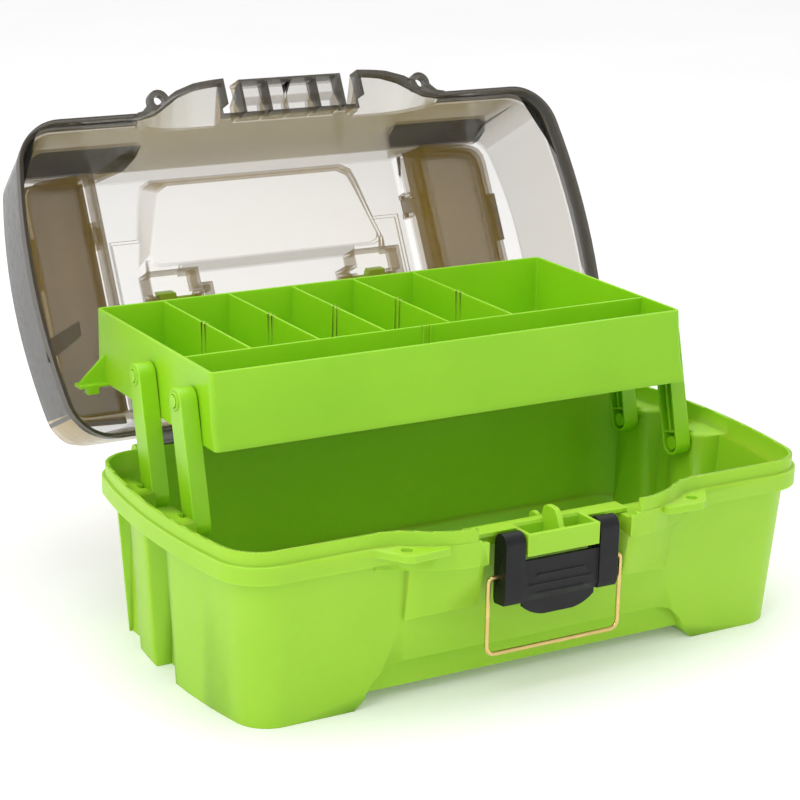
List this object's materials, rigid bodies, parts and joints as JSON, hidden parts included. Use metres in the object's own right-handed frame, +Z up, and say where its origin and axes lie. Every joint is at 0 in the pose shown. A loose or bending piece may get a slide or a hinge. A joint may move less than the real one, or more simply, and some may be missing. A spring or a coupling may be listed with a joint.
{
  "type": "tackle box",
  "caption": "Small tackle box standing open: moulded tub, smoke lid with bins under hatches, lift-out tray on parallel arms, lever latch with wire bail.",
  "frame": {"origin": "middle of the open box's bounding box, on the ground under its feet", "axes": "+Z up, +X along the length towards the right end, front with the latch towards -Y"},
  "size_m": [0.39, 0.387, 0.294],
  "materials": {
    "lime_plastic": "fine moulded grain, satin",
    "smoke_plastic": "translucent smoke, smooth",
    "black_plastic": "fine grain, satin",
    "brass_wire": "bright drawn wire",
    "steel_pin": "drawn"
  },
  "bodies": {
    "tub": {"tub": "lime_plastic", "hinge_pin_left": "steel_pin", "hinge_pin_right": "steel_pin"},
    "lid": {"lid_shell": "smoke_plastic"},
    "hatch_left": {"hatch_left": "smoke_plastic"},
    "hatch_right": {"hatch_right": "smoke_plastic"},
    "handle": {"carry_handle": "lime_plastic"},
    "arm_front_left": {"arm_front_left": "lime_plastic"},
    "arm_rear_left": {"arm_rear_left": "lime_plastic"},
    "arm_front_right": {"arm_front_right": "lime_plastic"},
    "arm_rear_right": {"arm_rear_right": "lime_plastic"},
    "tray": {"tray": "lime_plastic"},
    "latch": {"latch_lever": "black_plastic"},
    "bail": {"latch_bail": "brass_wire"}
  },
  "joints": [
    {"name": "lid_hinge", "type": "hinge", "parent": "tub", "child": "lid", "pos_m": [0, 0.02716, 0.0965], "axis": [1, 0, 0], "range_deg": [0, 117.4]},
    {"name": "arm_front_left_pivot", "type": "hinge", "parent": "tub", "child": "arm_front_left", "pos_m": [-0.162, -0.07634, 0.0863], "axis": [1, 0, 0], "range_deg": [-1, 66.5]},
    {"name": "arm_front_right_pivot", "type": "hinge", "parent": "tub", "child": "arm_front_right", "pos_m": [0.162, -0.07634, 0.0863], "axis": [1, 0, 0], "range_deg": [-1, 66.5]},
    {"name": "arm_rear_left_pivot", "type": "hinge", "parent": "tub", "child": "arm_rear_left", "pos_m": [-0.162, -0.02184, 0.0863], "axis": [1, 0, 0], "range_deg": [-1, 66.5]},
    {"name": "arm_rear_right_pivot", "type": "hinge", "parent": "tub", "child": "arm_rear_right", "pos_m": [0.162, -0.02184, 0.0863], "axis": [1, 0, 0], "range_deg": [-1, 66.5]},
    {"name": "tray_pivot", "type": "hinge", "parent": "arm_front_left", "child": "tray", "pos_m": [-0.162, -0.05965, 0.1522], "axis": [1, 0, 0], "range_deg": [-66.5, 1]},
    {"name": "hatch_right_hinge", "type": "hinge", "parent": "lid", "child": "hatch_right", "pos_m": [0.1155, 0.1099, 0.05361], "axis": [0, 0.4602, 0.8878], "range_deg": [0, 100]},
    {"name": "hatch_left_hinge", "type": "hinge", "parent": "lid", "child": "hatch_left", "pos_m": [-0.1155, 0.1099, 0.05361], "axis": [0, -0.4602, -0.8878], "range_deg": [0, 100]},
    {"name": "handle_pivot", "type": "hinge", "parent": "lid", "child": "handle", "pos_m": [0, 0.15218, 0.14951], "axis": [1, 0, 0], "range_deg": [-3, 152.6]},
    {"name": "latch_pivot", "type": "hinge", "parent": "tub", "child": "latch", "pos_m": [0, -0.18714, 0.0896], "axis": [1, 0, 0], "range_deg": [-100, 0]},
    {"name": "bail_pivot", "type": "hinge", "parent": "latch", "child": "bail", "pos_m": [0, -0.18604, 0.0708], "axis": [-1, 0, 0], "range_deg": [0, 180]}
  ],
  "couplings": [
    {"joint": "arm_front_left_pivot", "follows": "lid_hinge", "ratio": 0.5562},
    {"joint": "arm_front_right_pivot", "follows": "lid_hinge", "ratio": 0.5562},
    {"joint": "arm_rear_left_pivot", "follows": "lid_hinge", "ratio": 0.5562},
    {"joint": "arm_rear_right_pivot", "follows": "lid_hinge", "ratio": 0.5562},
    {"joint": "tray_pivot", "follows": "lid_hinge", "ratio": -0.5562}
  ]
}
